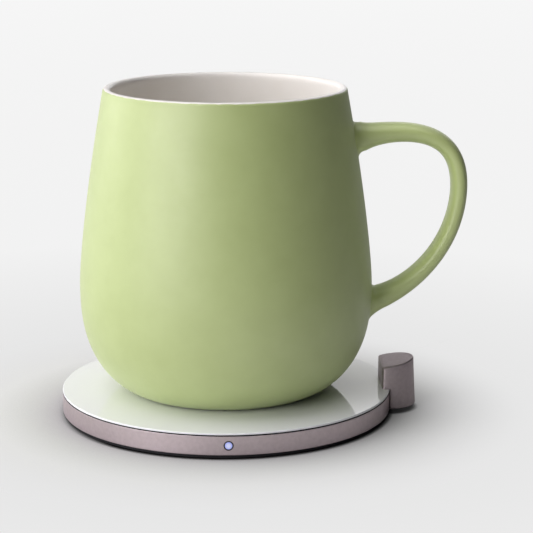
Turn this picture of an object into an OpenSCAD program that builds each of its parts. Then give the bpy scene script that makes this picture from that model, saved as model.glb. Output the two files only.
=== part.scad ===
// Self-heating mug on its wireless heating pad.
// Millimetres, +Z up. The origin is the centre of the pad's underside, on the table.
// -Y is the front, where the indicator lens is. +X is the side of the post and the handle.

/* [Pad] */
// Diameter of the pad
pad_d = 108; // [100:1:116]
// Thickness of the silicone disc under the pad
foot_t = 1.1; // [1:0.1:2]
// Height of the metal ring
band_h = 6.1; // [5.9:0.1:7]
// Wall of the metal ring
band_wall = 2; // [1.6:0.1:2.4]
// Thickness of the bonding film under the glass
gasket_t = 0.25; // [0.2:0.05:0.4]
// Thickness of the glass
glass_t = 0.75; // [0.7:0.05:1.2]

/* [Indicator] */
// Height of the lens above the table
lens_z = 4.25; // [4:0.05:4.5]
// Diameter of the clear lens
lens_d = 2.3; // [1.8:0.1:2.6]
// Outside diameter of the dark sleeve round the lens
sleeve_d = 3.1; // [2.9:0.1:3.3]

/* [Post] */
// Distance from the pad's centre to the post's axis
post_x = 53.5; // [53:0.1:54]
// Radius of the post at its foot
post_foot_r = 9.1; // [8.8:0.1:9.4]
// Radius of the post at its top
post_top_r = 8.4; // [8.2:0.1:8.6]
// Height of the post's slanted top over the pad's edge
post_h = 15.9; // [15.6:0.1:17]
// Slope of the post's top, rising outwards, in degrees
post_slope = 10; // [6:0.5:12]
// Distance from the pad's centre to the flat side of the post
post_flat_x = 50.9; // [50.5:0.1:51.2]

/* [Mug] */
// Height of the mug above the glass
mug_h = 98.8; // [96:0.2:104]
// Largest diameter of the mug
belly_d = 95.2; // [93:0.1:96]
// Height of the largest diameter above the glass
belly_h = 35.7; // [33:0.1:38]
// Diameter of the mug at its lip
rim_d = 78; // [76:0.2:80]
// Diameter of the mug where it nears the glass
foot_d = 59; // [58:0.2:60]
// Wall of the mug at its lip
lip_t = 2.5; // [2.2:0.1:3]
// Wall of the mug at its largest diameter
wall_t = 4; // [3.8:0.1:4.6]
// Thickness of the cup's floor
floor_t = 4.4; // [4:0.1:6]
// Diameter of the hollow in the base
cavity_d = 51; // [50:0.5:51.5]
// Height of the hollow in the base
cavity_h = 11; // [11:0.1:12]

/* [Handle] */
// Reach of the handle's centre line from the mug's axis
handle_x = 75.7; // [73:0.1:78]
// Height of the handle's farthest point above the table
handle_z = 74.6; // [72:0.1:76]
// Height of the handle's upper end above the table
handle_top_z = 90.5; // [90:0.1:92]
// Height of the handle's lower end above the table
handle_low_z = 35.6; // [35:0.1:37]
// Thickness of the handle at its farthest point
handle_t = 5.3; // [5:0.1:6]
// Width of the handle across its middle
handle_w = 10.5; // [9:0.5:12]

/* [Hidden] */
$fn = 96;

// A little extra length where a cutter runs out past a face
over = 1;
// Play between loose pieces of the casing
play = 0.2;

// Heights in the pad
pad_r = pad_d / 2;
band_r_in = pad_r - band_wall;
inner_r = band_r_in - play;
foot_inset = 0.8;
foot_r = pad_r - foot_inset;
cover_t = 1.6;
cover_top = foot_t + cover_t;
band_top = foot_t + band_h;
carrier_t = 0.9;
carrier_z = band_top - carrier_t;
ledge_t = 0.7;
ledge_w = 1.8;
seam_recess = 0.8;
gasket_r = pad_r - seam_recess;
glass_z = band_top + gasket_t;
glass_top = glass_z + glass_t;
// Bevel of the metal, glass and silicone edges
edge = 0.2;

// Screws that hold the base cover
screw_count = 4;
screw_ring_r = 44;
screw_r = 0.9;
screw_head_r = 1.8;
screw_head_t = 0.9;
screw_len = 4;
boss_r = 2.5;
hole_play = 0.1;

// Transmitter and its board
coil_turns = 9;
coil_r_in = 8;
coil_r_out = 23;
coil_t = 1.3;
coil_gap = 0.45;
ferrite_t = 0.9;
ferrite_r = 25;
dish_r = 26;
coil_z = carrier_z - coil_t;
ferrite_z = coil_z - ferrite_t;
sensor_r = 2.2;
sensor_hole_r = 2.6;
board_t = 0.8;
board_r_in = 27.5;
board_r_out = 48.5;
board_top = cover_top + board_t;
board_mid_r = (board_r_in + board_r_out) / 2;
chip_h = 0.9;
controller_w = 6;
driver_w = 4;
capacitor = [3.2, 2.5, 1.6];
inductor = [7, 7, 2.4];
controller_angle = 180;
driver_angles = [150, 164, 196, 210];
capacitor_angles = [80:8:112];
inductor_angle = 25;
led = [3, 1, 1.1];
led_inset = 0.2;
pipe_gap = 0.6;
lens_sink = 0.1;
lens_dome_h = 0.25;
dome_steps = 6;

// Post and power inlet
post_z = 1.5;
post_taper_z = 15.3;
post_wall = 1.4;
post_gap = 0.15;
post_floor_t = 1;
post_seat_gap = 0.05;
post_seat_z = glass_top + post_seat_gap;
post_shelf_z = post_seat_z + post_wall;
post_cavity_top = 14.7;
post_cavity_x = pad_r + post_gap + post_wall;
post_upper_x = post_flat_x + post_wall;
post_screw_y = 5.2;
post_screw_z = 4;
post_screw_r = 0.6;
post_screw_head_r = 1;
post_screw_head_t = 0.8;
post_screw_seat_x = 51.9;
post_screw_end_x = 58;
post_boss_r = 1.3;
post_boss_len = 4.6;
socket_w = 8.94;
socket_h = 3.26;
socket_len = 7.3;
socket_wall = 0.3;
socket_x = 57.4;
socket_mouth_y = 6.6;
socket_z = 10;
socket_depth = 6.2;
tongue = [0.7, 4.45, 6.69];
socket_board_t = 0.8;
socket_board_w = 6;
socket_board_x = socket_x + socket_h / 2;
socket_board_z = [2.7, 13.5];
socket_play = 0.12;
socket_slot_y = 4;
lead_r = 0.5;
lead_y = 0.75;
lead_z = board_top + lead_r;
lead_x = [46.5, socket_board_x];
grommet_r = 1.7;
lead_hole_len = 5;

// Heights in the mug
mug_top = glass_top + mug_h;
belly_r = belly_d / 2;
belly_z = glass_top + belly_h;
lip_r = lip_t / 2;
rim_r = rim_d / 2;
foot_edge_r = foot_d / 2;
ceramic_lift = 0.4;
ceramic_z = glass_top + ceramic_lift;
cavity_r = cavity_d / 2;
cavity_top = ceramic_z + cavity_h;
floor_z = cavity_top + floor_t;
floor_r = 24;
wall_bow = 1.35;
base_power = [2.68, 1.51];
bowl_power = [2.5, 1.8];
wall_steps = 14;
base_steps = 18;
lip_steps = 10;
ring_r = [26.6, 28.8];
ring_h = 1.4;

// Stack in the mug's base, from below
cap_sink = 0.3;
cap_z = ceramic_z + cap_sink;
cap_t = 1.4;
seal_w = 1.2;
seal_t = 1;
rx_coil_z = cap_z + cap_t;
rx_coil_t = 1.2;
rx_coil_r_out = 22.5;
rx_ferrite_z = rx_coil_z + rx_coil_t;
rx_ferrite_r = 23.5;
rx_ferrite_t = 0.8;
rx_board_z = rx_ferrite_z + rx_ferrite_t;
rx_board_r = 23;
rx_board_t = 1;
rx_parts_z = rx_board_z + rx_board_t;
rx_chip = [4, 4, 1];
rx_chip_r = 15;
rx_chip_angles = [60:60:300];
heater_t = 0.6;
heater_r = 24;
heater_z = cavity_top - heater_t;
insulation_t = 3.4;
insulation_r = 25.2;
probe_r = 1.5;
cutoff_r = 2.2;
cutoff_x = 10;

// Handle: ends inside the wall, and the length of each curve's tangent
handle_in_x = 39.8;
handle_start_x = 44;
handle_end_x = 45;
handle_reach_start = 2;
handle_reach_above = 24.9;
handle_reach_below = 18.8;
handle_reach_end = 17.7;
handle_end_angle = 14.3;
handle_rings = 22;
handle_sides = 18;
handle_power = 2.4;
// Gain and power of the handle's swell towards its ends: outside and inside its loop above, and below
handle_outer = [1, 3.6];
handle_inner = [0.21, 0.5];
handle_below = [0.56, 4];
// Extra width near the wall, flare inside the loop at the upper and the lower end, and their length
handle_flare_w = 2;
handle_flare_t = [2.6, 0.9];
handle_flare_len = 3.5;

// Outer radius of the mug at height z: a bowed wall above the belly, a superellipse below it
function wall_u(z) = (z - belly_z) / (mug_top - belly_z);
function base_a(z) = (belly_z - z) / (belly_z - glass_top);
function outer_r(z) = z >= belly_z
    ? belly_r - (belly_r - rim_r) * pow(wall_u(z), wall_bow)
    : foot_edge_r + (belly_r - foot_edge_r) * pow(1 - pow(base_a(z), base_power[0]), 1 / base_power[1]);

// Inner radius of the cup: the outer wall less its thickness, then a rounded bowl
function bowl_a(z) = (belly_z - z) / (belly_z - floor_z);
function wall_at(z) = wall_t + (lip_t - wall_t) * wall_u(z);
function cup_r(z) = z >= belly_z
    ? outer_r(z) - wall_at(z)
    : floor_r + (belly_r - wall_t - floor_r) * pow(1 - pow(bowl_a(z), bowl_power[0]), 1 / bowl_power[1]);

// Steps from 0 to 1 that crowd towards 1, for curves that turn fastest at their end
function eased(i, n) = sin(90 * i / n);

// Point of a cubic curve with the control points c
function cubic(c, t) = pow(1 - t, 3) * c[0] + 3 * t * pow(1 - t, 2) * c[1]
    + 3 * t * t * (1 - t) * c[2] + pow(t, 3) * c[3];
function cubic_way(c, t) = 3 * pow(1 - t, 2) * (c[1] - c[0]) + 6 * t * (1 - t) * (c[2] - c[1])
    + 3 * t * t * (c[3] - c[2]);
function unit(v) = v / norm(v);
function signed_pow(v, e) = sign(v) * pow(abs(v), e);

// Rounded bar seen from its end
module stadium(w, h) {
    square([w - h, h], center = true);
    for (side = [-1, 1])
        translate([side * (w - h) / 2, 0]) circle(d = h);
}

// Bar with round ends, its long side upright, that runs along +Y
module upright_bar(w, h, len) {
    rotate([-90, 0, 0]) linear_extrude(len) rotate(90) stadium(w, h);
}

// Round disc with its rims broken by a small bevel
module bevelled_disc(r, t, bevel) {
    rotate_extrude()
        polygon([[0, 0], [r - bevel, 0], [r, bevel], [r, t - bevel], [r - bevel, t], [0, t]]);
}

// Flat ring from radius a to radius b
module flat_ring(a, b, t) {
    difference() {
        cylinder(r = b, h = t);
        translate([0, 0, -over]) cylinder(r = a, h = t + 2 * over);
    }
}

// Flat wire wound as a spiral from radius a to radius b
module spiral_winding(a, b, turns, gap, t) {
    steps = 20;
    pitch = (b - a) / (turns + 1);
    width = pitch - gap;
    last = turns * steps;
    linear_extrude(t)
        polygon(concat(
            [for (i = [0:last]) (a + pitch * i / steps) * [cos(360 * i / steps), sin(360 * i / steps)]],
            [for (i = [last:-1:0])
                (a + width + pitch * i / steps) * [cos(360 * i / steps), sin(360 * i / steps)]]));
}

// Block of a chip or capacitor, lying on a board at radius r and turned to the angle
module board_block(size, r, angle) {
    rotate(angle) translate([r - size[0] / 2, -size[1] / 2, 0]) cube(size);
}

// Positions of the base cover's screws
module at_cover_screws() {
    for (i = [0:screw_count - 1])
        rotate(360 * (i + 0.5) / screw_count) translate([screw_ring_r, 0, 0]) children();
}

// Both screws of the post, laid along +X from the origin of each
module at_post_screws() {
    for (side = [-1, 1])
        translate([0, side * post_screw_y, post_screw_z]) rotate([0, 90, 0]) children();
}

// Both leads' places, laid along +X
module at_leads() {
    for (side = [-1, 1])
        translate([0, side * lead_y, lead_z]) rotate([0, 90, 0]) children();
}

module anti_slip_pad() {
    color("#26262a") bevelled_disc(foot_r, foot_t, edge);
}

module base_cover() {
    color("#3a3a3e") translate([0, 0, foot_t]) difference() {
        cylinder(r = inner_r, h = cover_t);
        at_cover_screws() {
            translate([0, 0, -over]) cylinder(r = screw_r + hole_play, h = cover_t + 2 * over);
            cylinder(r1 = screw_head_r, r2 = screw_r + hole_play, h = screw_head_t);
        }
    }
}

module cover_screws() {
    color("silver") translate([0, 0, foot_t]) at_cover_screws() {
        cylinder(r1 = screw_head_r, r2 = screw_r, h = screw_head_t);
        cylinder(r = screw_r, h = screw_len);
    }
}

module rim_band() {
    color("#a79b9d") difference() {
        union() {
            translate([0, 0, foot_t]) difference() {
                bevelled_disc(pad_r, band_h, edge);
                translate([0, 0, -over]) cylinder(r = band_r_in, h = band_h + 2 * over);
            }
            translate([0, 0, carrier_z - ledge_t]) flat_ring(band_r_in - ledge_w, band_r_in + edge, ledge_t);
        }
        translate([0, 0, lens_z]) rotate([90, 0, 0]) cylinder(d = sleeve_d, h = pad_r + over);
        translate([post_screw_seat_x - 2 * over, 0, 0]) at_post_screws() {
            cylinder(r = post_screw_head_r + hole_play, h = 2 * over);
            cylinder(r = post_screw_r + hole_play, h = band_wall + 4 * over);
        }
        translate([band_r_in - 2 * over, 0, lead_z]) rotate([0, 90, 0])
            cylinder(r = grommet_r, h = band_wall + 4 * over);
    }
}

module glass_carrier() {
    color("#d8d8d4") difference() {
        union() {
            translate([0, 0, carrier_z]) cylinder(r = inner_r, h = carrier_t);
            at_cover_screws() translate([0, 0, cover_top]) cylinder(r = boss_r, h = band_top - cover_top);
        }
        translate([0, 0, cover_top]) cylinder(r = sensor_hole_r, h = band_h);
        at_cover_screws() translate([0, 0, cover_top - over])
            cylinder(r = screw_r + hole_play, h = screw_len - cover_t + over + hole_play);
    }
}

module glass_gasket() {
    color("#141416") translate([0, 0, band_top]) flat_ring(sensor_hole_r, gasket_r, gasket_t);
}

module glass_plate() {
    color("#ecede7") translate([0, 0, glass_z]) bevelled_disc(pad_r, glass_t, edge);
}

module coil_carrier() {
    color("#c9c6be") translate([0, 0, cover_top]) cylinder(r = dish_r, h = ferrite_z - cover_top);
}

module ferrite_disc() {
    color("#4a4648") translate([0, 0, ferrite_z]) cylinder(r = ferrite_r, h = ferrite_t);
}

module transmitter_coil() {
    color("#b5713f") translate([0, 0, coil_z])
        spiral_winding(coil_r_in, coil_r_out, coil_turns, coil_gap, coil_t);
}

module temperature_sensor() {
    color("#7c5a38") translate([0, 0, coil_z]) cylinder(r = sensor_r, h = glass_z - coil_z);
}

module control_board() {
    color("#2f5d3a") translate([0, 0, cover_top]) difference() {
        flat_ring(board_r_in, board_r_out, board_t);
        at_cover_screws() translate([0, 0, -over]) cylinder(r = boss_r + play, h = board_t + 2 * over);
    }
}

module controller_chip() {
    color("#1c1c1f") translate([0, 0, board_top])
        board_block([controller_w, controller_w, chip_h], board_mid_r, controller_angle);
}

module driver_chips() {
    color("#1c1c1f") translate([0, 0, board_top])
        for (angle = driver_angles)
            board_block([driver_w, driver_w, chip_h], board_mid_r, angle);
}

module resonant_capacitors() {
    color("#b79b6f") translate([0, 0, board_top])
        for (angle = capacitor_angles)
            board_block(capacitor, board_mid_r, angle);
}

module power_inductor() {
    color("#5b5b60") translate([0, 0, board_top]) board_block(inductor, board_mid_r, inductor_angle);
}

module indicator_led() {
    color("#f4f6ff") translate([-led[0] / 2, led_inset - board_r_out, board_top]) cube(led);
}

// Clear rod with a low dome on its outer end
module light_pipe() {
    rod_r = lens_d / 2;
    back_y = board_r_out + pipe_gap;
    rod_len = pad_r - back_y - lens_sink;
    dome = [for (i = [0:dome_steps])
        [rod_r * cos(90 * i / dome_steps), rod_len + lens_dome_h * sin(90 * i / dome_steps)]];
    color("#eef2ff") translate([0, -back_y, lens_z]) rotate([90, 0, 0])
        rotate_extrude() polygon(concat([[0, 0], [rod_r, 0]], dome));
}

module lens_sleeve() {
    color("#2b292c") translate([0, 0, lens_z]) intersection() {
        rotate([90, 0, 0]) difference() {
            cylinder(d = sleeve_d, h = pad_r + over);
            translate([0, 0, -over]) cylinder(d = lens_d, h = pad_r + 3 * over);
        }
        translate([0, 0, -sleeve_d]) flat_ring(band_r_in, pad_r, 2 * sleeve_d);
    }
}

// Radius of the tapered post at height z
function post_r(z) = post_foot_r + (post_top_r - post_foot_r) * (z - post_z) / (post_taper_z - post_z);

// Tapered round bar on the post's axis, less a margin all round, from height a to height b
module post_bar(a, b, margin) {
    translate([post_x, 0, a]) cylinder(r1 = post_r(a) - margin, r2 = post_r(b) - margin, h = b - a);
}

// Half space on the outer side of the plane at x
module beyond(x) {
    reach = 2 * post_foot_r;
    translate([x, -reach, -over]) cube([2 * reach, 2 * reach, 2 * reach]);
}

// Hollow of the post: it leaves the shelf over the glass and the two screw bosses standing
module post_hollow() {
    reach = 2 * post_foot_r;
    difference() {
        intersection() {
            post_bar(post_z - over, post_cavity_top, post_wall);
            beyond(post_upper_x);
        }
        translate([post_cavity_x - reach, -reach, -over]) cube([reach, 2 * reach, post_shelf_z + over]);
        translate([pad_r, 0, 0]) at_post_screws() cylinder(r = post_boss_r, h = post_boss_len);
    }
}

module post_shell() {
    bar_top = 19;
    reach = 2 * post_foot_r;
    color("#7d7375") difference() {
        intersection() {
            post_bar(post_z, bar_top, 0);
            beyond(post_flat_x);
        }
        translate([0, 0, -over]) cylinder(r = pad_r + post_gap, h = post_seat_z + over);
        translate([pad_r, -reach, post_h]) rotate([0, -post_slope, 0])
            translate([-reach, 0, 0]) cube([2 * reach, 2 * reach, reach]);
        post_hollow();
        translate([band_r_in, 0, 0]) at_post_screws()
            cylinder(r = post_screw_r + hole_play / 2, h = post_screw_end_x + hole_play - band_r_in);
        translate([band_r_in, 0, lead_z]) rotate([0, 90, 0]) cylinder(r = grommet_r, h = lead_hole_len);
        translate([socket_x, socket_slot_y, socket_z])
            upright_bar(socket_w + 2 * socket_play, socket_h + 2 * socket_play, reach);
    }
}

module post_floor() {
    color("#3a3a3e") intersection() {
        post_bar(post_z, post_z + post_floor_t, post_wall + hole_play);
        beyond(post_cavity_x + hole_play);
    }
}

module post_screws() {
    color("silver") {
        translate([post_screw_seat_x - post_screw_head_t, 0, 0]) at_post_screws()
            cylinder(r = post_screw_head_r, h = post_screw_head_t);
        translate([post_screw_seat_x, 0, 0]) at_post_screws()
            cylinder(r = post_screw_r, h = post_screw_end_x - post_screw_seat_x);
    }
}

module usb_c_socket() {
    color("#c8c8cc") translate([socket_x, socket_mouth_y - socket_len, socket_z]) {
        difference() {
            upright_bar(socket_w, socket_h, socket_len);
            translate([0, socket_len - socket_depth, 0])
                upright_bar(socket_w - 2 * socket_wall, socket_h - 2 * socket_wall, socket_depth + over);
        }
        translate([-tongue[0] / 2, socket_len - socket_depth, -tongue[2] / 2]) cube(tongue);
    }
}

module socket_board() {
    color("#2f5d3a") translate([socket_board_x, -socket_board_w / 2, socket_board_z[0]])
        cube([socket_board_t, socket_board_w, socket_board_z[1] - socket_board_z[0]]);
}

module power_leads() {
    color("#b3262b") translate([lead_x[0], 0, 0]) at_leads()
        cylinder(r = lead_r, h = lead_x[1] - lead_x[0]);
}

module wire_grommet() {
    color("#1e1e20") difference() {
        translate([band_r_in, 0, lead_z]) rotate([0, 90, 0]) cylinder(r = grommet_r, h = band_wall);
        translate([band_r_in - over, 0, 0]) at_leads() cylinder(r = lead_r, h = band_wall + 2 * over);
    }
}

module mug_body() {
    lip_z = mug_top - lip_r;
    lip_x = outer_r(lip_z) - lip_r;
    outside = concat(
        [for (i = [base_steps:-1:0])
            let (z = belly_z - (belly_z - ceramic_z) * eased(i, base_steps)) [outer_r(z), z]],
        [for (i = [1:wall_steps]) let (z = belly_z + (lip_z - belly_z) * i / wall_steps) [outer_r(z), z]]);
    lip = [for (i = [1:lip_steps - 1])
        [lip_x, lip_z] + lip_r * [cos(180 * i / lip_steps), sin(180 * i / lip_steps)]];
    inside = concat(
        [for (i = [wall_steps:-1:1]) let (z = belly_z + (lip_z - belly_z) * i / wall_steps) [cup_r(z), z]],
        [for (i = [0:base_steps])
            let (z = belly_z - (belly_z - floor_z) * eased(i, base_steps)) [cup_r(z), z]]);
    groove_z = glass_top + ring_h;
    color("#c3d496") difference() {
        rotate_extrude()
            polygon(concat(outside, lip, inside,
                [[0, floor_z], [0, cavity_top], [cavity_r, cavity_top], [cavity_r, ceramic_z]]));
        translate([0, 0, ceramic_z - over]) flat_ring(ring_r[0], ring_r[1], groove_z - ceramic_z + over);
    }
}

// Control points of the handle's upper and lower curves, in the X and Z plane
handle_end = [handle_end_x, handle_low_z];
handle_upper = [[handle_start_x, handle_top_z], [handle_start_x + handle_reach_start, handle_top_z],
    [handle_x, handle_z + handle_reach_above], [handle_x, handle_z]];
handle_lower = [[handle_x, handle_z], [handle_x, handle_z - handle_reach_below],
    handle_end + handle_reach_end * [cos(handle_end_angle), sin(handle_end_angle)], handle_end];

// Place and direction of the handle's centre line: t runs from 0 to 1 above and from 1 to 2 below
function handle_at(t) = t <= 1 ? cubic(handle_upper, t) : cubic(handle_lower, t - 1);
function handle_way(t) = unit(t <= 1 ? cubic_way(handle_upper, t) : cubic_way(handle_lower, t - 1));
// Half thickness along the handle: a power of the way from the farthest point to either end
function handle_half(t, above) = handle_t / 2 * (1 + above[0] * pow(max(0, 1 - t), above[1])
    + handle_below[0] * pow(max(0, t - 1), handle_below[1]));
// How far the handle flares out as it nears the wall
function flare(p) = exp(-max(0, p[0] - outer_r(p[1])) / handle_flare_len);

// Ring of points round the handle at p, where the line runs along w
function handle_ring(p, w, t) =
    let (outer = handle_half(t, handle_outer),
        inner = handle_half(t, handle_inner) + handle_flare_t[t < 1 ? 0 : 1] * flare(p),
        wide = handle_w / 2 + handle_flare_w / 2 * flare(p))
    [for (k = [0:handle_sides - 1])
        let (a = 360 * k / handle_sides,
            n = signed_pow(cos(a), 2 / handle_power) * (cos(a) < 0 ? inner : outer),
            y = signed_pow(sin(a), 2 / handle_power) * wide)
        [p[0] - w[1] * n, y, p[1] + w[0] * n]];

module mug_handle() {
    stub = handle_ring([handle_in_x, handle_top_z], [1, 0], 0);
    rings = concat([stub], [for (i = [0:2 * handle_rings])
        let (t = i / handle_rings) handle_ring(handle_at(t), handle_way(t), t)]);
    count = len(rings);
    next = [for (k = [0:handle_sides - 1]) (k + 1) % handle_sides];
    sides = [for (i = [0:count - 2]) for (k = [0:handle_sides - 1])
        for (face = [[0, 1, 2], [0, 2, 3]])
            let (quad = [i * handle_sides + k, (i + 1) * handle_sides + k,
                (i + 1) * handle_sides + next[k], i * handle_sides + next[k]])
            [for (c = face) quad[c]]];
    first_cap = [for (k = [1:handle_sides - 2]) [0, k, k + 1]];
    last = (count - 1) * handle_sides;
    last_cap = [for (k = [1:handle_sides - 2]) [last, last + k + 1, last + k]];
    color("#c3d496") polyhedron(points = [for (ring = rings) each ring],
        faces = concat(sides, first_cap, last_cap));
}

module foot_ring() {
    color("#d9d7d2") translate([0, 0, glass_top]) flat_ring(ring_r[0], ring_r[1], ring_h);
}

module base_cap() {
    color("#dcdad4") translate([0, 0, cap_z]) cylinder(r = cavity_r - hole_play, h = cap_t);
}

module base_gasket() {
    color("#e4e2dc") translate([0, 0, rx_coil_z]) flat_ring(cavity_r - seal_w, cavity_r, seal_t);
}

module receiver_coil() {
    color("#b5713f") translate([0, 0, rx_coil_z])
        spiral_winding(coil_r_in, rx_coil_r_out, coil_turns, coil_gap, rx_coil_t);
}

module receiver_ferrite() {
    color("#4a4648") translate([0, 0, rx_ferrite_z]) cylinder(r = rx_ferrite_r, h = rx_ferrite_t);
}

module receiver_board() {
    color("#2f5d3a") translate([0, 0, rx_board_z]) cylinder(r = rx_board_r, h = rx_board_t);
}

module rectifier_chips() {
    color("#1c1c1f") translate([0, 0, rx_parts_z])
        for (angle = rx_chip_angles)
            board_block(rx_chip, rx_chip_r, angle);
}

module insulation_disc() {
    color("#e9e4d6") translate([0, 0, heater_z - insulation_t]) difference() {
        cylinder(r = insulation_r, h = insulation_t);
        translate([0, 0, -over]) cylinder(r = probe_r + play, h = insulation_t + 2 * over);
        translate([cutoff_x, 0, -over]) cylinder(r = cutoff_r + play, h = insulation_t + 2 * over);
    }
}

module heater_film() {
    color("#b98a3c") translate([0, 0, heater_z]) cylinder(r = heater_r, h = heater_t);
}

module temperature_probe() {
    color("#7c5a38") translate([0, 0, rx_parts_z]) cylinder(r = probe_r, h = heater_z - rx_parts_z);
}

module thermal_cutoff() {
    color("#c9c9cc") translate([cutoff_x, 0, rx_parts_z]) cylinder(r = cutoff_r, h = heater_z - rx_parts_z);
}

anti_slip_pad();
base_cover();
cover_screws();
rim_band();
glass_carrier();
glass_gasket();
glass_plate();
coil_carrier();
ferrite_disc();
transmitter_coil();
temperature_sensor();
control_board();
controller_chip();
driver_chips();
resonant_capacitors();
power_inductor();
indicator_led();
light_pipe();
lens_sleeve();
post_shell();
post_floor();
post_screws();
usb_c_socket();
socket_board();
power_leads();
wire_grommet();
mug_body();
mug_handle();
foot_ring();
base_cap();
base_gasket();
receiver_coil();
receiver_ferrite();
receiver_board();
rectifier_chips();
insulation_disc();
heater_film();
temperature_probe();
thermal_cutoff();
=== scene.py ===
"""Looks of a self-heating mug on its wireless heating pad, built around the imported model.

Lengths are millimetres in the model's own frame until a mesh is made: +Z up, -Y the front with the
indicator lens, +X the side of the post and the handle. The pad's centre on the table is the origin.
Corners of an outline are (r, z, fillet), with 0 for a sharp one.
"""
import math

import bmesh
import bpy
import numpy as np
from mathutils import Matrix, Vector


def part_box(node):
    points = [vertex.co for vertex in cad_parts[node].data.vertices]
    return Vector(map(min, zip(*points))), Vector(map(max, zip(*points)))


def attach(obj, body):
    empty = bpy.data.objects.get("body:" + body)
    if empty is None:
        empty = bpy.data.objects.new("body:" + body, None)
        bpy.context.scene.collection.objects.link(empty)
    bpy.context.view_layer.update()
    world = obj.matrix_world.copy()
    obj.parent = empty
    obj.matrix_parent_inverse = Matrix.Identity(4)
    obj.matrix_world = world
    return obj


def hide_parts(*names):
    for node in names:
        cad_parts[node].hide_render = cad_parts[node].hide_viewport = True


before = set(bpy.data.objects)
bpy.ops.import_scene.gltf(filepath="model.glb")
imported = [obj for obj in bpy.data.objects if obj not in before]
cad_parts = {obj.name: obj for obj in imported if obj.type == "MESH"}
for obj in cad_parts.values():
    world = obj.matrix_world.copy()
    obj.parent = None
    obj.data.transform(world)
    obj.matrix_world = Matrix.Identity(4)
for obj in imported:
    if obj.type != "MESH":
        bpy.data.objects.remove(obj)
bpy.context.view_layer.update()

MM = 0.001


def node_span(node):
    """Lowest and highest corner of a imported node, in millimetres."""
    low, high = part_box(node)
    return np.array(low) / MM, np.array(high) / MM


def node_heights(node):
    """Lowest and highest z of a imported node, in millimetres."""
    low, high = node_span(node)
    return low[2], high[2]


# Meshes: steps of a round, share of a fillet out to its guard points, merging distance, crease angle
ARC_STEPS = 7
GUARD = 0.12
MERGE = 0.0005
CREASE_DEG = 40

# Pad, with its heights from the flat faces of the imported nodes
band_low, band_top = node_heights("rim_band")
glass_low, glass_top = node_heights("glass_plate")
foot_top = node_heights("anti_slip_pad")[1]
foot_r = node_span("anti_slip_pad")[1][1]
PAD_R = 54.0
BAND_WALL = 2.0
# Rounds of the metal ring below, inside and outside, and above, outside and inside
BAND_LOW_ROUNDS, BAND_TOP_ROUNDS = (0.2, 0.25), (0.12, 0.1)
GLASS_ROUND = 0.3
# Black film: its edge inside the rim, the rise of its lip under the glass's round edge, its width, rounds
SEAM_RECESS = 0.03
SEAM_LIP = 0.17
SEAM_W = 6.0
SEAM_ROUND, LIP_ROUND = 0.05, 0.02
# Grooves of the underside: where each starts, width, depth, width of a sloped side
GROOVE_R = (14.0, 27.0, 40.0)
GROOVE_W, GROOVE_DEPTH, GROOVE_SLOPE = 1.6, 0.4, 0.3
# Rounds of a groove's edges and bed, and of the underside's rim below and above
GROOVE_EDGE, GROOVE_BED = 0.25, 0.2
GRIP_LOW_ROUND, GRIP_TOP_ROUND = 0.3, 0.1

# Indicator lens and its sleeve, with depths counted outwards from the ring's front
LENS_R = 1.15
LENS_BACK, LENS_FRONT, LENS_DOME = -4.8, -0.02, 0.16
LENS_ROUND = 0.1
LENS_SEGMENTS, DOME_STEPS = 64, 14
SLEEVE_R = 1.55
SLEEVE_BACK, SLEEVE_FRONT = -2.0, 0.06
SLEEVE_BACK_ROUND, SLEEVE_FRONT_ROUND = 0.05, 0.12
LENS_HOLE_BACK, LENS_HOLE_FRONT = -5.0, 2.0
lens_z = 0.5 * sum(node_heights("light_pipe"))

# Mug: a bowed wall over the belly, superellipses under it
ceramic_low, mug_top = node_heights("mug_body")
cavity_top = node_heights("heater_film")[1]
ring_low, ring_top = node_heights("foot_ring")
cap_low, cap_top = node_heights("base_cap")
BELLY_R = 47.6
BELLY_Z = glass_top + 35.7
RIM_R = 39.0
FOOT_EDGE_R = 29.5
WALL_BOW = 1.35
BASE_POWER = (2.68, 1.51)
BOWL_POWER = (2.5, 1.8)
LIP_T = 2.5
WALL_T = 4.0
FLOOR_Z = cavity_top + 4.4
FLOOR_R = 24.0
CAVITY_R = 25.5
RING_R = (26.6, 28.8)
# Rounds of the foot's edge, the ring's slot at its mouth and its end, the hollow, the ring's standing edge
FOOT_ROUND, SLOT_MOUTH, SLOT_END, CAVITY_ROUND, STAND_ROUND = 0.12, 0.15, 0.1, 0.3, 0.35
MUG_SEGMENTS = 256
WALL_STEPS, FLOOR_STEPS, LIP_STEPS = 48, 10, 37
# Where the green glaze stops on the lip, in degrees up from its outermost line, and the distance to each
# side of that line over which the way to it is kept
GLAZE_EDGE_DEG = 46.0
GLAZE_REACH = 5
# Cap in the foot: its play and rounds, the dish in its middle, and the groove near its rim
CAP_PLAY = 0.1
CAP_LOW_ROUND, CAP_TOP_ROUND = 0.25, 0.1
DISH_R, DISH_DEPTH, DISH_ROUNDS = (17.5, 18.2), 0.35, (0.3, 0.4)
CAP_GROOVE_R, CAP_GROOVE_DEPTH, CAP_GROOVE_ROUND = (22.3, 23.1), 0.4, 0.12

# Handle's centre line, in the X and Z plane
HANDLE_TOP = np.array([44.0, 90.5])
HANDLE_FAR = np.array([75.7, 74.6])
HANDLE_END = np.array([45.0, 35.6])
HANDLE_T = 5.3
HANDLE_W = 10.5
HANDLE_WIDENING = 0.10
HANDLE_POWER = 2.4
HANDLE_SIDES, HANDLE_RINGS = 64, 120
TANGENT_START, TANGENT_ABOVE, TANGENT_BELOW, TANGENT_END = 2.0, 24.9, 18.8, 17.7
END_SLOPE_DEG = 14.3
# Gain and power of the swell towards the ends: outside and inside the loop above, and below
SWELL_OUTER, SWELL_INNER, SWELL_BELOW = (1.0, 3.6), (0.21, 0.5), (0.56, 4.0)
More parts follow.
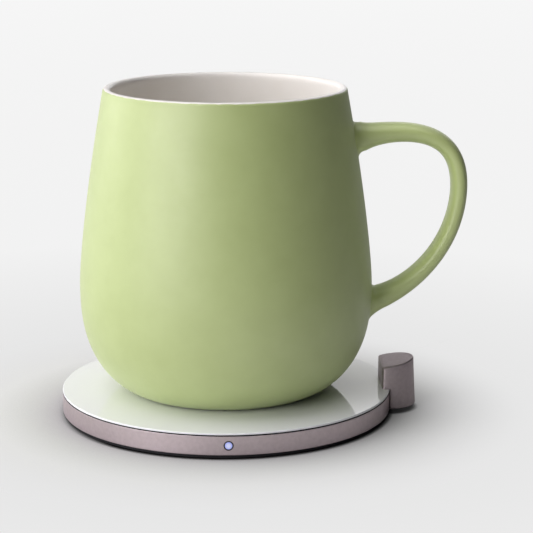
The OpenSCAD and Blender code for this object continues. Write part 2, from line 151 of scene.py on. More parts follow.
# Flare inside the loop near the wall, at the upper and the lower end, and the length it dies out in
FLARE_TOP, FLARE_LOW, FLARE_LEN = 2.6, 0.9, 3.5
# Fillets on the wall: at the sides, and what is added inside and outside the loop
TOP_FILLET, LOW_FILLET = (1.5, 0.7, -0.5), (1.5, 0.3, 0.8)
FILLET_STEPS = 14
# Pull of a fillet's curve where it leaves the handle and where it lands, and how its end sinks in the wall
LEAVE_PULL, LAND_PULL = 1.25, 2.0
SINK_DEPTH, SINK_BACK = 1.2, 0.8
# Search for the wall: half its span and its halvings
WALL_SEARCH, WALL_HALVINGS = 30.0, 50
# Stretch of the handle's line between the fillets
HANDLE_STRETCH = (0.055, 1.88)

# Post
POST_X = 53.5
POST_FOOT_R = 9.1
POST_TOP_R = 8.4
POST_TAPER_H = 13.8
POST_FLAT_X = 50.9
POST_TOP_Z = 15.9
POST_SLOPE_DEG = 10.0
POST_PAD_GAP = 0.15
POST_TOP_ROUND, POST_LOW_ROUND = 0.45, 0.4
POST_SHOULDER = 2.2
POST_SIDES, POST_RINGS, POST_CAP_RINGS = 240, 10, 12
# Power that blends the plan's two sides at its corners, and the x of its inner points past the axis
POST_CORNER = 26.0
POST_PLAN_X, POST_CAP_X, POST_FLOOR_X = 4.0, 2.5, 5.0
# How far the ring next to an edge is drawn in towards the middle
POST_CLOSE = 0.03
post_low = node_heights("post_shell")[0]
post_seat = glass_top + 0.05
# Inlet's opening: play round the inlet, how far the cutter goes out past it, points of a round end
INLET_PLAY, INLET_OUT, INLET_STEPS = 0.12, 6, 24


# Surfaces

def unit(v):
    """Vectors along the last axis, made one long."""
    return v / np.linalg.norm(v, axis=-1, keepdims=True)


def full_turn(count):
    """Angles evenly round a circle, from 0 and short of 2 pi."""
    return np.linspace(0, 2 * math.pi, count, endpoint=False)


def rounded_outline(corners, steps=ARC_STEPS):
    """Outline through corners: each fillet is an arc tangent to both sides of its corner.

    The arc's centre lies on the corner's bisector at fillet / sin(half angle), and its points are the
    spherical blend of the two radii to the tangent points. A guard point follows each arc's ends.
    """
    corners = np.asarray(corners, float)
    points = []
    for i, (*place, fillet) in enumerate(corners):
        place = np.array(place)
        if fillet == 0 or i in (0, len(corners) - 1):
            points.append(place[None])
            continue
        back, ahead = unit(corners[i - 1, :2] - place), unit(corners[i + 1, :2] - place)
        half = math.acos(np.clip(back @ ahead, -1, 1)) / 2
        centre = place + unit(back + ahead) * fillet / math.sin(half)
        start, end = place + back * fillet / math.tan(half), place + ahead * fillet / math.tan(half)
        turn = math.pi - 2 * half
        s = np.linspace(0, 1, steps)[:, None]
        swing = np.sin((1 - s) * turn) * (start - centre) + np.sin(s * turn) * (end - centre)
        arc = centre + swing / math.sin(turn)
        margin = GUARD * fillet
        points.append(np.vstack([start + back * margin, arc, end + ahead * margin]))
    return np.vstack(points)


def closed_outline(corners):
    """Rounded outline of a ring's section: it starts and ends in the middle of its closing side."""
    corners = np.asarray(corners, float)
    middle = np.append((corners[0, :2] + corners[-1, :2]) / 2, 0)
    return rounded_outline(np.vstack([middle, corners, middle]))[:-1]


def smooth(mesh):
    """Smooth shading, with creases where faces meet at a larger angle."""
    mesh.shade_smooth()
    mesh.set_sharp_from_angle(angle=math.radians(CREASE_DEG))


def put_object(name, data):
    """New object for a mesh, lamp or camera, linked into the scene."""
    placed = bpy.data.objects.new(name, data)
    bpy.context.scene.collection.objects.link(placed)
    return placed


def put_mesh(name, verts, faces):
    """Mesh object from points in millimetres and faces, doubles merged and normals turned outwards."""
    mesh = bpy.data.meshes.new(name)
    mesh.from_pydata((verts * MM).tolist(), [], faces.tolist())
    work = bmesh.new()
    work.from_mesh(mesh)
    bmesh.ops.remove_doubles(work, verts=work.verts, dist=MERGE * MM)
    bmesh.ops.dissolve_degenerate(work, edges=work.edges, dist=MERGE * MM)
    bmesh.ops.recalc_face_normals(work, faces=work.faces)
    work.to_mesh(mesh)
    work.free()
    smooth(mesh)
    return put_object(name, mesh)


def grid_faces(rows, columns, wrap_rows):
    """Quads of a rows x columns grid, as corner numbers: its columns close on themselves, rows may too."""
    i, j = np.meshgrid(np.arange(rows if wrap_rows else rows - 1), np.arange(columns), indexing="ij")
    up, right = (i + 1) % rows, (j + 1) % columns
    corners = [i * columns + j, up * columns + j, up * columns + right, i * columns + right]
    return np.stack(corners, -1).reshape(-1, 4)


def grid_piece(name, points, wrap_rows=False):
    """Piece from a grid of points (rows, columns, 3)."""
    rows, columns = points.shape[:2]
    return put_mesh(name, points.reshape(-1, 3), grid_faces(rows, columns, wrap_rows))


def turned(outline, segments):
    """Points of a turned surface: (r, z) at angle a goes to (r cos a, r sin a, z)."""
    a = full_turn(segments)
    r, z = outline[:, 0, None], outline[:, 1, None]
    return np.stack([r * np.cos(a), r * np.sin(a), np.broadcast_to(z, (len(outline), segments))], -1)


def turned_disc(name, corners, segments=240, steps=ARC_STEPS):
    """Turned piece whose outline starts and ends on the axis."""
    return grid_piece(name, turned(rounded_outline(corners, steps), segments))


def turned_ring(name, corners, segments=360):
    """Turned piece with a closed section away from the axis."""
    return grid_piece(name, turned(closed_outline(corners), segments), wrap_rows=True)


def cut_away(piece, cutter):
    """Takes the cutter's volume out of the piece and deletes the cutter."""
    modifier = piece.modifiers.new("cut", "BOOLEAN")
    modifier.operation, modifier.solver, modifier.object = "DIFFERENCE", "EXACT", cutter
    seen = piece.evaluated_get(bpy.context.evaluated_depsgraph_get())
    cut_mesh = bpy.data.meshes.new_from_object(seen)
    piece.modifiers.clear()
    old_mesh, piece.data = piece.data, cut_mesh
    cut_mesh.name = old_mesh.name
    cutter_mesh = cutter.data
    bpy.data.objects.remove(cutter)
    bpy.data.meshes.remove(cutter_mesh)
    smooth(cut_mesh)


# Shapes of the mug

def outer_r(z):
    """Outside radius of the mug: belly less a power of the height over it, a superellipse below."""
    z = np.asarray(z, float)
    up = np.clip((z - BELLY_Z) / (mug_top - BELLY_Z), 0, 1)
    down = np.clip((BELLY_Z - z) / (BELLY_Z - glass_top), 0, 1)
    wall = BELLY_R - (BELLY_R - RIM_R) * up ** WALL_BOW
    base = FOOT_EDGE_R + (BELLY_R - FOOT_EDGE_R) * (1 - down ** BASE_POWER[0]) ** (1 / BASE_POWER[1])
    return np.where(z >= BELLY_Z, wall, base)


def cup_r(z):
    """Inside radius of the cup: the outer wall less its thickness, a superellipse in the bowl."""
    up = np.clip((z - BELLY_Z) / (mug_top - BELLY_Z), 0, 1)
    down = np.clip((BELLY_Z - z) / (BELLY_Z - FLOOR_Z), 0, 1)
    wall = outer_r(z) - (WALL_T + (LIP_T - WALL_T) * up)
    bowl = FLOOR_R + (BELLY_R - WALL_T - FLOOR_R) * (1 - down ** BOWL_POWER[0]) ** (1 / BOWL_POWER[1])
    return np.where(z >= BELLY_Z, wall, bowl)


def mug_outline():
    """Section of the cup from the middle of its floor round the lip to the hollow in its base.

    Returns the points and, for each, its distance along the section from the edge of the green glaze,
    positive on the white side.
    """
    ease = np.sin(np.linspace(0, math.pi / 2, WALL_STEPS))
    lip_r = LIP_T / 2
    lip_z = mug_top - lip_r
    lip_x = float(outer_r(lip_z)) - lip_r
    floor_r = np.linspace(0, FLOOR_R, FLOOR_STEPS)[:-1]
    bowl_z = BELLY_Z - (BELLY_Z - FLOOR_Z) * ease[::-1]
    rise_z = np.linspace(BELLY_Z, lip_z, WALL_STEPS)[1:]
    base_z = BELLY_Z - (BELLY_Z - ceramic_low) * ease[:-1]
    inside = np.vstack([
        np.column_stack([floor_r, np.full_like(floor_r, FLOOR_Z)]),
        np.column_stack([cup_r(bowl_z), bowl_z]),
        np.column_stack([cup_r(rise_z), rise_z])])
    a = np.radians(np.linspace(180, 0, LIP_STEPS)[1:-1])
    lip = np.column_stack([lip_x + lip_r * np.cos(a), lip_z + lip_r * np.sin(a)])
    outside = np.vstack([
        np.column_stack([outer_r(rise_z), rise_z])[::-1],
        np.column_stack([outer_r(base_z), base_z])])
    under = rounded_outline([
        [*outside[-1], 0], [float(outer_r(ceramic_low)), ceramic_low, FOOT_ROUND],
        [RING_R[1], ceramic_low, SLOT_MOUTH], [RING_R[1], ring_top, SLOT_END],
        [RING_R[0], ring_top, SLOT_END], [RING_R[0], ceramic_low, SLOT_MOUTH],
        [CAVITY_R, ceramic_low, CAVITY_ROUND], [CAVITY_R, cavity_top, CAVITY_ROUND], [0, cavity_top, 0]])[1:]
    points = np.vstack([inside, lip, outside, under])
    run = np.concatenate([[0], np.cumsum(np.linalg.norm(np.diff(points, axis=0), axis=1))])
    lip_run = run[len(inside):len(inside) + len(lip)]
    edge_run = np.interp(math.radians(180 - GLAZE_EDGE_DEG), math.pi - a, lip_run)
    return points, edge_run - run


def mug_shell():
    """The cup, turned from its section, with the glaze distance kept as a point attribute."""
    points, white = mug_outline()
    piece = grid_piece("mug_shell", turned(points, MUG_SEGMENTS))
    co = np.empty(len(piece.data.vertices) * 3)
    piece.data.vertices.foreach_get("co", co)
    co = co.reshape(-1, 3) / MM
    place = np.column_stack([np.hypot(co[:, 0], co[:, 1]), co[:, 2]])
    nearest = np.argmin(((place[:, None] - points[None]) ** 2).sum(-1), axis=1)
    white_side = np.clip(white[nearest], -GLAZE_REACH, GLAZE_REACH)
    attribute = piece.data.attributes.new("white_side", "FLOAT", "POINT")
    attribute.data.foreach_set("value", white_side.astype(np.float32))
    return piece


def cubic(p, t):
    """Point of the cubic curve with the control points p, and its direction."""
    t = np.asarray(t, float)[:, None]
    u = 1 - t
    place = u ** 3 * p[0] + 3 * t * u ** 2 * p[1] + 3 * t ** 2 * u * p[2] + t ** 3 * p[3]
    way = 3 * u ** 2 * (p[1] - p[0]) + 6 * t * u * (p[2] - p[1]) + 3 * t ** 2 * (p[3] - p[2])
    return place, unit(way)


def handle_line(t):
    """Centre line of the handle and its direction: t from 0 to 1 above its farthest point, to 2 below."""
    slope = math.radians(END_SLOPE_DEG)
    above = [HANDLE_TOP, HANDLE_TOP + [TANGENT_START, 0], HANDLE_FAR + [0, TANGENT_ABOVE], HANDLE_FAR]
    below = [HANDLE_FAR, HANDLE_FAR - [0, TANGENT_BELOW],
             HANDLE_END + TANGENT_END * np.array([math.cos(slope), math.sin(slope)]), HANDLE_END]
    first, first_way = cubic(above, np.clip(t, 0, 1))
    second, second_way = cubic(below, np.clip(t - 1, 0, 1))
    upper = (t <= 1)[:, None]
    return np.where(upper, first, second), np.where(upper, first_way, second_way)


def handle_swell(t, above):
    """Thickness along the handle over its least: a power of the way to each end."""
    to_top, to_end = np.clip(1 - t, 0, 1), np.clip(t - 1, 0, 1)
    return 1 + above[0] * to_top ** above[1] + SWELL_BELOW[0] * to_end ** SWELL_BELOW[1]


def handle_rings(t, angle):
    """Rings of a superellipse |n / half|^p + |y / wide|^p = 1 square to the centre line.

    The half outside the loop swells otherwise than the half inside, which keeps the top bar level,
    and the inside half flares by an exponential of the distance to the mug's wall.
    Returns the points (rings, angle, 3), and for each ring its centre and its direction in space.
    """
    place, way = handle_line(t)
    flare = np.exp(-np.clip(place[:, 0] - outer_r(place[:, 1]), 0, None) / FLARE_LEN)
    outer = 0.5 * HANDLE_T * handle_swell(t, SWELL_OUTER)
    inner = 0.5 * HANDLE_T * handle_swell(t, SWELL_INNER) + np.where(t < 1, FLARE_TOP, FLARE_LOW) * flare
    half = np.where(np.cos(angle) > 0, outer[:, None], inner[:, None])
    wide = 0.5 * HANDLE_W * (1 + HANDLE_WIDENING * np.abs(t - 1) ** 2)[:, None]
    c, s = np.cos(angle), np.sin(angle)
    n = half * np.sign(c) * np.abs(c) ** (2 / HANDLE_POWER)
    y = wide * np.sign(s) * np.abs(s) ** (2 / HANDLE_POWER)
    x = place[:, 0, None] - way[:, 1, None] * n
    z = place[:, 1, None] + way[:, 0, None] * n
    centre, direction = (np.column_stack([v[:, 0], np.zeros(len(t)), v[:, 1]]) for v in (place, way))
    return np.stack([x, y, z], -1), centre, direction


def onto_wall(points, direction):
    """Moves points along direction until they lie on the mug's outside, by bisection on the distance."""
    low, high = np.full(len(points), -WALL_SEARCH), np.full(len(points), WALL_SEARCH)
    for _ in range(WALL_HALVINGS):
        middle = (low + high) / 2
        q = points + middle[:, None] * direction
        outside = np.hypot(q[:, 0], q[:, 1]) > outer_r(q[:, 2])
        low, high = np.where(outside, middle, low), np.where(outside, high, middle)
    return points + low[:, None] * direction


def wall_normal(points, step=0.01):
    """Outward normal of the mug's outside, from the slope of its radius over a small step."""
    slope = (outer_r(points[:, 2] + step) - outer_r(points[:, 2] - step)) / (2 * step)
    r = np.hypot(points[:, 0], points[:, 1])
    return unit(np.column_stack([points[:, 0] / r, points[:, 1] / r, -slope]))


def end_blend(ring, centre, towards, fillet):
    """Fillet from a handle ring to the wall: a Hermite curve from each ring point.

    It leaves along the handle towards the wall, and arrives in the wall's tangent plane going away
    from the ring's centre, one fillet outside the ring's own outline. A last ring is sunk in the wall.
    """
    out = ring - centre
    out = unit(out - (out @ towards)[:, None] * towards)
    landing = onto_wall(ring + out * fillet[:, None], towards)
    normal = wall_normal(landing)
    along = unit(out - (out * normal).sum(1, keepdims=True) * normal)
    reach = np.linalg.norm(landing - ring, axis=1, keepdims=True)
    s = np.linspace(0, 1, FILLET_STEPS)[1:, None, None]
    start_way, end_way = towards * reach * LEAVE_PULL, along * fillet[:, None] * LAND_PULL
    curve = ((2 * s ** 3 - 3 * s ** 2 + 1) * ring + (s ** 3 - 2 * s ** 2 + s) * start_way
             + (3 * s ** 2 - 2 * s ** 3) * landing + (s ** 3 - s ** 2) * end_way)
    sunk = landing - normal * SINK_DEPTH - along * SINK_BACK
    return np.concatenate([curve, sunk[None]])


def mug_handle_form():
    """The handle with its fillets on the wall, one closed skin from end cap to end cap.

    From the sides to the inside and the outside of the loop, a fillet's size goes with the angle's
    squared cosine.
    """
    angle = full_turn(HANDLE_SIDES)
    rings, centre, way = handle_rings(np.linspace(*HANDLE_STRETCH, HANDLE_RINGS), angle)
    inside = np.clip(-np.cos(angle), 0, 1) ** 2
    outside = np.clip(np.cos(angle), 0, 1) ** 2
    top_fillet, low_fillet = (side + add_inside * inside + add_outside * outside
                              for side, add_inside, add_outside in (TOP_FILLET, LOW_FILLET))
    top = end_blend(rings[0], centre[0], -way[0], top_fillet)
    low = end_blend(rings[-1], centre[-1], way[-1], low_fillet)
    skin = np.concatenate([top[::-1], rings, low])
    caps = [np.broadcast_to(end.mean(0), (HANDLE_SIDES, 3))[None] for end in (skin[0], skin[-1])]
    return grid_piece("mug_handle_form", np.concatenate([caps[0], skin, caps[1]]))


def foot_ring_form():
    """Silicone ring in the mug's foot, turned, its standing edge rounded."""
    return turned_ring("foot_ring_form", [
        [RING_R[0], ring_low, STAND_ROUND], [RING_R[1], ring_low, STAND_ROUND],
        [RING_R[1], ring_top, SLOT_END], [RING_R[0], ring_top, SLOT_END]])


def base_cap_form():
    """Plastic cap in the mug's foot, turned: a disc with a dished middle and a narrow groove near its rim."""
    dish, bed, edge = cap_low + DISH_DEPTH, cap_low + CAP_GROOVE_DEPTH, CAVITY_R - CAP_PLAY
    groove = [[CAP_GROOVE_R[side], z, CAP_GROOVE_ROUND]
              for side, z in ((0, cap_low), (0, bed), (1, bed), (1, cap_low))]
    return turned_disc("base_cap_form", [
        [0, dish, 0], [DISH_R[0], dish, DISH_ROUNDS[0]], [DISH_R[1], cap_low, DISH_ROUNDS[1]], *groove,
        [edge, cap_low, CAP_LOW_ROUND], [edge, cap_top, CAP_TOP_ROUND], [0, cap_top, 0]])


# Shapes of the pad

def glass_form():
    """Glass disc, turned, with a polished rounded edge."""
    return turned_disc("glass_form", [
        [0, glass_low, 0], [PAD_R, glass_low, GLASS_ROUND],
        [PAD_R, glass_top, GLASS_ROUND], [0, glass_top, 0]], segments=360)


def seam_form():
    """Black film between ring and glass, turned, with a lip pressed out under the glass's round edge."""
    edge = PAD_R - SEAM_RECESS
    inner = edge - SEAM_W
    return turned_ring("seam_form", [
        [inner, band_top, SEAM_ROUND], [edge, band_top, SEAM_ROUND], [edge, glass_low + SEAM_LIP, LIP_ROUND],
        [PAD_R - GLASS_ROUND, glass_low, LIP_ROUND], [inner, glass_low, SEAM_ROUND]])


def along_front(outline):
    """Turned points with the axis along -Y through the lens: (r, d) lies d outside the ring's front."""
    points = turned(outline, LENS_SEGMENTS)
    x, y, d = points[..., 0], points[..., 1], points[..., 2]
    return np.stack([x, -PAD_R - d, lens_z + y], -1)


def ring_form():
    """Metal ring, turned, with its edges rounded a little and a round hole for the lens."""
    inner = PAD_R - BAND_WALL
    piece = turned_ring("ring_form", [
        [inner, band_low, BAND_LOW_ROUNDS[0]], [PAD_R, band_low, BAND_LOW_ROUNDS[1]],
        [PAD_R, band_top, BAND_TOP_ROUNDS[0]], [inner, band_top, BAND_TOP_ROUNDS[1]]], segments=480)
    hole = np.array([[0, LENS_HOLE_BACK], [SLEEVE_R, LENS_HOLE_BACK],
                     [SLEEVE_R, LENS_HOLE_FRONT], [0, LENS_HOLE_FRONT]])
    cut_away(piece, grid_piece("lens_cutter", along_front(hole)))
    return piece


def lens_form():
    """Clear lens: a turned rod whose front is a low dome, a quarter of an ellipse in section."""
    rod = rounded_outline([
        [0, LENS_BACK, 0], [LENS_R, LENS_BACK, LENS_ROUND], [LENS_R, LENS_FRONT, 0]], steps=5)
    a = np.linspace(0, math.pi / 2, DOME_STEPS)
    dome = np.column_stack([LENS_R * np.cos(a), LENS_FRONT + LENS_DOME * np.sin(a)])
    return grid_piece("lens_form", along_front(np.vstack([rod[:-1], dome])))


def sleeve_form():
    """Dark sleeve round the lens, turned, its front edge rounded."""
    outline = closed_outline([
        [LENS_R, SLEEVE_BACK, SLEEVE_BACK_ROUND], [SLEEVE_R, SLEEVE_BACK, SLEEVE_BACK_ROUND],
        [SLEEVE_R, SLEEVE_FRONT, SLEEVE_FRONT_ROUND], [LENS_R, SLEEVE_FRONT, SLEEVE_FRONT_ROUND]])
    return grid_piece("sleeve_form", along_front(outline), wrap_rows=True)


def grip_form():
    """Silicone underside, turned, with three shallow round grooves between flat standing rings."""
    corners = [[0, 0, 0]]
    for r in GROOVE_R:
        end = r + GROOVE_W
        corners += [[r, 0, GROOVE_EDGE], [r + GROOVE_SLOPE, GROOVE_DEPTH, GROOVE_BED],
                    [end - GROOVE_SLOPE, GROOVE_DEPTH, GROOVE_BED], [end, 0, GROOVE_EDGE]]
    corners += [[foot_r, 0, GRIP_LOW_ROUND], [foot_r, foot_top, GRIP_TOP_ROUND], [0, foot_top, 0]]
    return turned_disc("grip_form", corners, segments=300, steps=5)


def post_r(z):
    """Radius of the tapered post at height z, on a straight line from its foot to its top."""
    return POST_FOOT_R + (POST_TOP_R - POST_FOOT_R) * (z - post_low) / POST_TAPER_H


def post_plan(z, inset, inner_x):
    """Plan of the post at height z: an arc of its radius about its axis, closed by the side at inner_x.

    inner_x(y) gives the inner side's x. The plan is sampled by angle about a point inside it, and the
    smaller of the distances to arc and side is taken, softened at both corners by the p-norm of their
    inverses. The distance to the side is stepped towards, because that side's x depends on y.
    """
    steps, farthest, never, least_lean = 12, 60, 1e6, 0.02
    a = full_turn(POST_SIDES)
    ray_x, ray_y = np.cos(a), np.sin(a)
    start_x = POST_X + POST_PLAN_X
    b = POST_PLAN_X * ray_x
    to_arc = -b + np.sqrt(b ** 2 - POST_PLAN_X ** 2 + (post_r(z) - inset) ** 2)
    facing = ray_x < -least_lean
    lean = np.where(facing, -ray_x, 1)
    to_side = (start_x - inner_x(np.zeros(POST_SIDES)) - inset) / lean
    for _ in range(steps):
        to_side = np.minimum((start_x - inner_x(to_side * ray_y) - inset) / lean, farthest)
    to_side = np.where(facing, to_side, never)
    reach = (to_arc ** -POST_CORNER + to_side ** -POST_CORNER) ** (-1 / POST_CORNER)
    return np.column_stack([start_x + reach * ray_x, reach * ray_y])


def inlet_cutter():
    """Cutter for the inlet's mouth: two half circles joined upright, carried along Y out of the back."""
    low, high = node_span("usb_c_socket")
    half_w = 0.5 * (high[0] - low[0]) + INLET_PLAY
    half_run = 0.5 * (high[2] - low[2]) + INLET_PLAY - half_w
    a = np.linspace(0, math.pi, INLET_STEPS)
    upper = np.column_stack([half_w * np.cos(a), half_run + half_w * np.sin(a)])
    loop = np.vstack([upper, -upper])
    middle = (low + high) / 2
    back = high[1] + INLET_OUT
    rings = []
    for y, scale in ((low[1], 0.0), (low[1], 1.0), (back, 1.0), (back, 0.0)):
        x, z = middle[0] + loop[:, 0] * scale, middle[2] + loop[:, 1] * scale
        rings.append(np.column_stack([x, np.full(len(loop), y), z]))
    return grid_piece("inlet_cutter", np.array(rings))


def post_form():
    """Tapered metal post with a flat inner side and a slanted top, edges rounded.

    Rings follow its height. Under the glass its inner side is the pad's own round with a gap, and a
    ledge joins the two. The top rings climb to the slanted plane z = top + slope (x - rim).
    """
    slope = math.tan(math.radians(POST_SLOPE_DEG))
    half_width = 12

    def flat_side(y):
        """Inner side over the glass: one x for every y."""
        return np.full_like(y, POST_FLAT_X)

    def pad_side(y):
        """Inner side under the glass: the pad's circle, a gap larger."""
        return np.sqrt((PAD_R + POST_PAD_GAP) ** 2 - np.clip(y, -half_width, half_width) ** 2)

    def slanted(plan):
        """Heights of the slanted plane over a plan."""
        return POST_TOP_Z + slope * (plan[:, 0] - PAD_R)

    def ring(z, inset, side):
        """Level ring: the plan at one height."""
        plan = post_plan(z, inset, side)
        return np.column_stack([plan, np.full(len(plan), z)])

    def drawn_in(plan, past_axis, share):
        """Plan drawn in by a share of the way to a point past the axis."""
        return plan + (np.array([POST_X + past_axis, 0.0]) - plan) * share

    turn = np.linspace(0, math.pi / 2, ARC_STEPS)
    low = [ring(post_low + POST_LOW_ROUND * (1 - math.sin(q)), POST_LOW_ROUND * (1 - math.cos(q)), pad_side)
           for q in turn[::-1]]
    shaft = [ring(z, 0, pad_side) for z in np.linspace(post_low + POST_LOW_ROUND, post_seat, POST_RINGS)]
    shaft += [ring(z, 0, flat_side) for z in np.linspace(post_seat, POST_TOP_Z - POST_SHOULDER, POST_RINGS)]
    edge = post_plan(POST_TOP_Z, 0, flat_side)
    inner = post_plan(POST_TOP_Z, POST_TOP_ROUND, flat_side)
    rounds = [np.column_stack([edge + (inner - edge) * (1 - math.cos(q)),
                               slanted(edge) - POST_TOP_ROUND * (1 - math.sin(q))]) for q in turn]
    caps = [drawn_in(inner, POST_CAP_X, k) for k in np.linspace(POST_CLOSE, 1, POST_CAP_RINGS)]
    caps = [np.column_stack([plan, slanted(plan)]) for plan in caps]
    low_plan, low_z = low[0][:, :2], low[0][:, 2]
    floor = [np.column_stack([drawn_in(low_plan, POST_FLOOR_X, k), low_z]) for k in (1.0, 0.5, POST_CLOSE)]
    piece = grid_piece("post_form", np.array(floor + low + shaft + rounds + caps))
    cut_away(piece, inlet_cutter())
    return piece


# Materials

# Span that most of a noise texture's values lie in
NOISE_LOW, NOISE_HIGH = 0.3, 0.7


def linear(hex_colour):
    """sRGB hex to linear RGBA."""
    c = np.array([int(hex_colour[i:i + 2], 16) for i in (1, 3, 5)]) / 255
    c = np.where(c <= 0.04045, c / 12.92, ((c + 0.055) / 1.055) ** 2.4)
    return (*c.tolist(), 1.0)


def add(tree, kind, sockets=None, **settings):
    """Adds a node with its settings, and gives its inputs values or links, by name or number.

    A link comes from a socket, or from a node's first output in use.
    """
    node = tree.nodes.new(kind)
    for key, value in settings.items():
        setattr(node, key, value)
    for key, value in (sockets or {}).items():
        if isinstance(value, bpy.types.Node):
            value = next(output for output in value.outputs if output.enabled)
        if isinstance(value, bpy.types.NodeSocket):
            tree.links.new(value, node.inputs[key])
        else:
            node.inputs[key].default_value = value
    return node


def start_material(name):
    """Empty material with its tree and Object coordinates."""
    material = bpy.data.materials.new(name)
    material.use_nodes = True
    tree = material.node_tree
    tree.nodes.clear()
    return material, tree, add(tree, "ShaderNodeTexCoord").outputs["Object"]


def end_material(material, shader):
    """Puts the shader on the material's output, and returns the material."""
    add(material.node_tree, "ShaderNodeOutputMaterial", {"Surface": shader})
    return material


def per_mm(size):
    """Noise scale that gives features of a size in millimetres."""
    return 1 / (size * MM)


def tinted(tree, where, hex_low, hex_high, size):
    """Two close colours mixed by noise of a feature size in millimetres."""
    noise = add(tree, "ShaderNodeTexNoise", {"Vector": where, "Scale": per_mm(size), "Detail": 3.0})
    share = add(tree, "ShaderNodeMapRange", {"Value": noise, "From Min": NOISE_LOW, "From Max": NOISE_HIGH})
    return add(tree, "ShaderNodeMix", {
        "Factor": share, "A": linear(hex_low), "B": linear(hex_high)}, data_type="RGBA")


def grained(tree, where, size, depth, strength):
    """Bump from noise: feature size and depth in millimetres."""
    noise = add(tree, "ShaderNodeTexNoise", {"Vector": where, "Scale": per_mm(size), "Detail": 2.0})
    return add(tree, "ShaderNodeBump", {"Height": noise, "Strength": strength, "Distance": depth * MM})


def roughened(tree, where, size, low, high):
    """Roughness that wanders between two values over a feature size in millimetres."""
    noise = add(tree, "ShaderNodeTexNoise", {"Vector": where, "Scale": per_mm(size), "Detail": 2.0})
    return add(tree, "ShaderNodeMapRange", {
        "Value": noise, "From Min": NOISE_LOW, "From Max": NOISE_HIGH, "To Min": low, "To Max": high})


def green_coat(tree, where, low, high):
    """Matt glaze, dipped: an even soft green with a dry grain and no sharp gloss.

    The grain is drawn coarser than a real glaze's, so that it shows.
    """
    return add(tree, "ShaderNodeBsdfPrincipled", {
        "Base Color": tinted(tree, where, low, high, size=9.0),
        "Roughness": roughened(tree, where, size=3.0, low=0.42, high=0.5), "IOR": 1.6,
        "Specular IOR Level": 0.9, "Sheen Weight": 0.16, "Sheen Roughness": 0.5,
        "Normal": grained(tree, where, size=0.35, depth=0.01, strength=0.35)})


def painted_paler_green_glaze():
    """Stoneware of the handle: the cup's matt green all over, painted a touch paler as painted light that
    lifts the handle, which the mug shades.
    """
    material, tree, where = start_material("painted_paler_green_glaze")
    return end_material(material, green_coat(tree, where, "#C7D68C", "#CCDB92"))


def two_glazes():
    """Stoneware with two glazes: matt green outside, glossy warm white inside and over the lip.

    The white_side attribute is the distance in millimetres from the line where the green stops. The
    line wanders by a tenth of a millimetre, as a wiped glaze edge does.
    """
    wander, wander_size, soft_edge = 0.1, 3.0, 0.07
    material, tree, where = start_material("two_glazes")
    green = green_coat(tree, where, "#B9C883", "#BECD89")
    white = add(tree, "ShaderNodeBsdfPrincipled", {
        "Base Color": tinted(tree, where, "#F9F5EF", "#FBF8F3", size=12.0),
        "Roughness": 0.28, "IOR": 1.52, "Specular IOR Level": 0.35,
        "Normal": grained(tree, where, size=6.0, depth=0.02, strength=0.25)})
    side = add(tree, "ShaderNodeAttribute", attribute_name="white_side").outputs["Fac"]
    noise = add(tree, "ShaderNodeTexNoise", {"Vector": where, "Scale": per_mm(wander_size)})
    shift = add(tree, "ShaderNodeMapRange", {
        "Value": noise, "From Min": NOISE_LOW, "From Max": NOISE_HIGH, "To Min": -wander, "To Max": wander})
    edge = add(tree, "ShaderNodeMath", {0: side, 1: shift}, operation="ADD")
    mask = add(tree, "ShaderNodeMapRange", {"Value": edge, "From Min": -soft_edge, "From Max": soft_edge})
    return end_material(material, add(tree, "ShaderNodeMixShader", {"Fac": mask, 1: green, 2: white}))


def white_backed_glass():
    """Float glass painted white behind: an even cool white under a polished clear surface."""
    material, tree, where = start_material("white_backed_glass")
    return end_material(material, add(tree, "ShaderNodeBsdfPrincipled", {
        "Base Color": tinted(tree, where, "#F4F5F8", "#F6F7FA", size=30.0),
        "Roughness": roughened(tree, where, size=14.0, low=0.03, high=0.05), "IOR": 1.52,
        "Specular IOR Level": 0.3}))


def satin_aluminium(name, low, high, rough):
    """Bead-blasted anodised aluminium in mauve grey: a soft metallic sheen with a fine grain.

    The grain is drawn coarser than real bead marks, so that it shows.
    """
    material, tree, where = start_material(name)
    return end_material(material, add(tree, "ShaderNodeBsdfPrincipled", {
        "Base Color": tinted(tree, where, low, high, size=1.2), "Metallic": 1.0,
        "Roughness": roughened(tree, where, size=0.8, low=rough - 0.04, high=rough + 0.04),
        "Normal": grained(tree, where, size=0.3, depth=0.008, strength=0.5)}))


def moulded(name, low, high, rough, size=1.5, grain=0.4, gloss=0.5):
    """Moulded plastic, rubber, resin or fired ceramic: even colour with the fine grain of its mould."""
    material, tree, where = start_material(name)
    return end_material(material, add(tree, "ShaderNodeBsdfPrincipled", {
        "Base Color": tinted(tree, where, low, high, size),
        "Roughness": roughened(tree, where, size, low=rough - 0.05, high=rough + 0.05), "IOR": 1.5,
        "Specular IOR Level": gloss, "Normal": grained(tree, where, grain, depth=0.015, strength=0.4)}))


def drawn_metal(name, low, high, rough):
    """Plated or drawn metal: streaks along X from the drawing."""
    material, tree, where = start_material(name)
    stretch = 0.15
    along = add(tree, "ShaderNodeMapping", {"Vector": where, "Scale": (stretch, 1.0, 1.0)})
    return end_material(material, add(tree, "ShaderNodeBsdfPrincipled", {
        "Base Color": tinted(tree, along, low, high, size=0.6), "Metallic": 1.0,
        "Roughness": roughened(tree, along, size=0.5, low=rough - 0.06, high=rough + 0.06)}))


